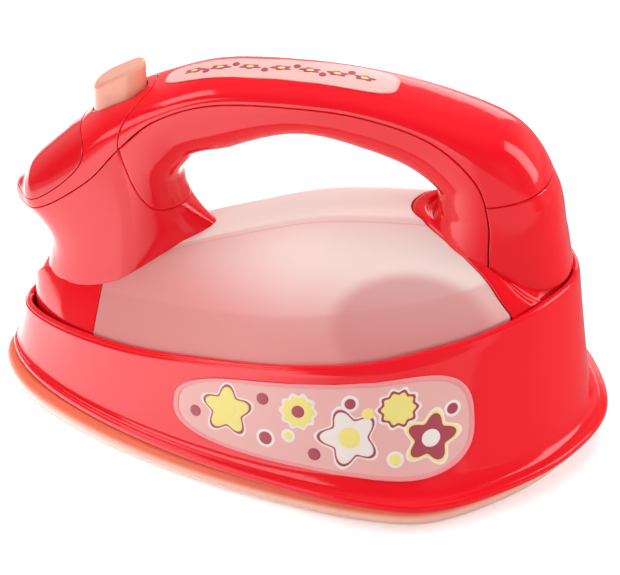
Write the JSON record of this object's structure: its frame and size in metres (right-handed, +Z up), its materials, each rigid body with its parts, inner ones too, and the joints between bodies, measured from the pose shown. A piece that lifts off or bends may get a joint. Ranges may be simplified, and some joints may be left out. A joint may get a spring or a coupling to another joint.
{
  "type": "toy iron",
  "caption": "Glossy red toy iron with a hollow arched handle, frosted dome, push button, side labels, peach sole and a battery box under its door.",
  "frame": {"origin": "centre of the whole iron's box, on the flat surface that the sole rests on", "axes": "+X from the nose to the rear, +Y to the far side, +Z up"},
  "size_m": [0.1888, 0.1244, 0.1151],
  "materials": {
    "red_gloss": "glossy",
    "peach_gloss": "glossy",
    "frosted_dome": "satin",
    "peach_button": "glossy",
    "label_film": "satin",
    "grey_box": "matte",
    "black_plastic": "matte",
    "circuit_board": "satin",
    "spring_steel": "polished",
    "screw_steel": "brushed",
    "cell_jacket": "glossy",
    "lamp_clear": "glossy",
    "speaker_cone": "matte"
  },
  "bodies": {
    "case": {"soleplate": "peach_gloss", "body_shell": "red_gloss", "front_shoulder": "red_gloss", "tank_dome": "frosted_dome", "rear_saddle": "red_gloss", "front_neck": "red_gloss", "nose_cap": "red_gloss", "button_collar": "red_gloss", "handle_top_cover": "red_gloss", "handle_lower_shell": "red_gloss", "rear_column": "red_gloss", "button_spring": "spring_steel", "switch_body": "black_plastic", "switch_board": "circuit_board", "handle_label": "label_film", "near_side_label": "label_film", "far_side_label": "label_film", "battery_box": "grey_box", "cells": "cell_jacket", "contact_springs": "spring_steel", "contact_plates": "spring_steel", "main_board": "circuit_board", "board_chips": "black_plastic", "lamps": "lamp_clear", "loudspeaker": "speaker_cone", "speaker_ring": "grey_box", "sole_screws": "screw_steel", "handle_screws": "screw_steel"},
    "button": {"push_button": "peach_button"},
    "plunger": {"switch_plunger": "black_plastic"},
    "door": {"battery_door": "peach_gloss", "door_screw": "screw_steel"}
  },
  "joints": [
    {"name": "button_press", "type": "slide", "parent": "case", "child": "button", "axis": [0, 0, -1], "range_m": [0, 0.0025], "stiffness_N_per_m": 600, "deforming": ["button_spring"]},
    {"name": "plunger_press", "type": "slide", "parent": "case", "child": "plunger", "axis": [0, 0, -1], "range_m": [0, 0.0025]},
    {"name": "door_lift", "type": "slide", "parent": "case", "child": "door", "axis": [0, 0, -1], "range_m": [0, 0.012]}
  ],
  "couplings": [
    {"joint": "plunger_press", "follows": "button_press", "ratio": 1}
  ]
}
